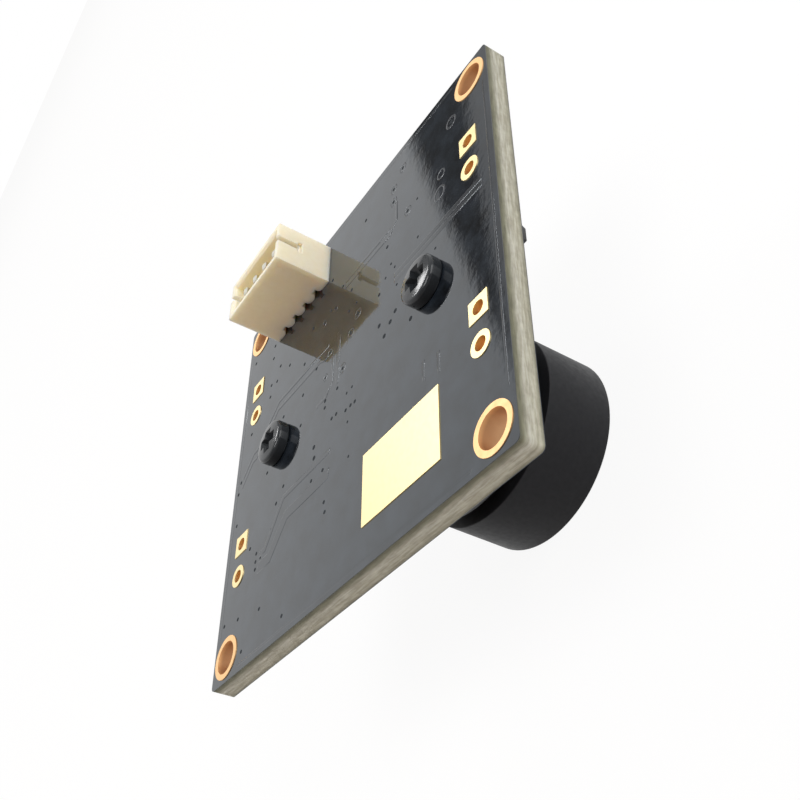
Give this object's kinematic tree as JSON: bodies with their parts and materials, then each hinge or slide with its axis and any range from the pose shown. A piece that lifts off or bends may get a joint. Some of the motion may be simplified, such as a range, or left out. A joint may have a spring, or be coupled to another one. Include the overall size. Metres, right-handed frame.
{
  "type": "camera module",
  "caption": "Small square board camera: screw-in lens in a holder on the front, wire header and holder screws on the back, plated corner holes.",
  "frame": {"origin": "centre of the four mounting holes, on the back face of the board (the face with the wire header)", "axes": "+Z out of the back face, opposite to the way the lens looks; +X from the wire header towards the bare gold pad; +Y along the line of the two holder screws"},
  "size_m": [0.0316, 0.0316, 0.0202],
  "materials": {
    "board": "glass-fibre laminate under glossy black solder mask",
    "gold": "copper plated with immersion gold",
    "nylon": "moulded natural nylon",
    "pin": "tin-plated brass",
    "solder": "bright solder",
    "holder": "moulded black glass-filled plastic",
    "screw": "steel with glossy black finish",
    "barrel": "turned, satin black anodised",
    "ring": "turned, matte black anodised",
    "glass": "coated optical glass",
    "filter": "coated filter glass",
    "ceramic": "dark fired ceramic",
    "silicon": "polished silicon",
    "epoxy": "moulded black epoxy",
    "lead": "tin-plated leads",
    "steel_lid": "drawn metal lid",
    "ferrite": "sintered ferrite",
    "chip_ceramic": "fired capacitor ceramic",
    "resistor": "glazed resistor"
  },
  "bodies": {
    "root": {"circuit_board": "board", "mounting_eyelets": "gold", "square_lamp_pads": "gold", "round_lamp_pads": "gold", "bare_gold_pad": "gold", "header_housing": "nylon", "header_contacts": "pin", "header_solder": "solder", "lens_holder": "holder", "holder_screws": "screw", "light_filter": "filter", "lens_barrel": "barrel", "front_glass": "glass", "front_ring": "ring", "middle_glass": "glass", "glass_spacer": "ring", "rear_glass": "glass", "rear_ring": "ring", "sensor_package": "ceramic", "sensor_die": "silicon", "sensor_cover": "glass", "processor_chip": "epoxy", "processor_lands": "lead", "memory_chip": "epoxy", "memory_leads": "lead", "regulators": "epoxy", "regulator_leads": "lead", "crystal_tray": "ceramic", "crystal_lid": "steel_lid", "power_inductor": "ferrite", "inductor_feet": "lead", "edge_diode": "epoxy", "diode_leads": "lead", "capacitors": "chip_ceramic", "capacitor_ends": "lead", "resistors": "resistor", "resistor_ends": "lead"}
  },
  "joints": []
}
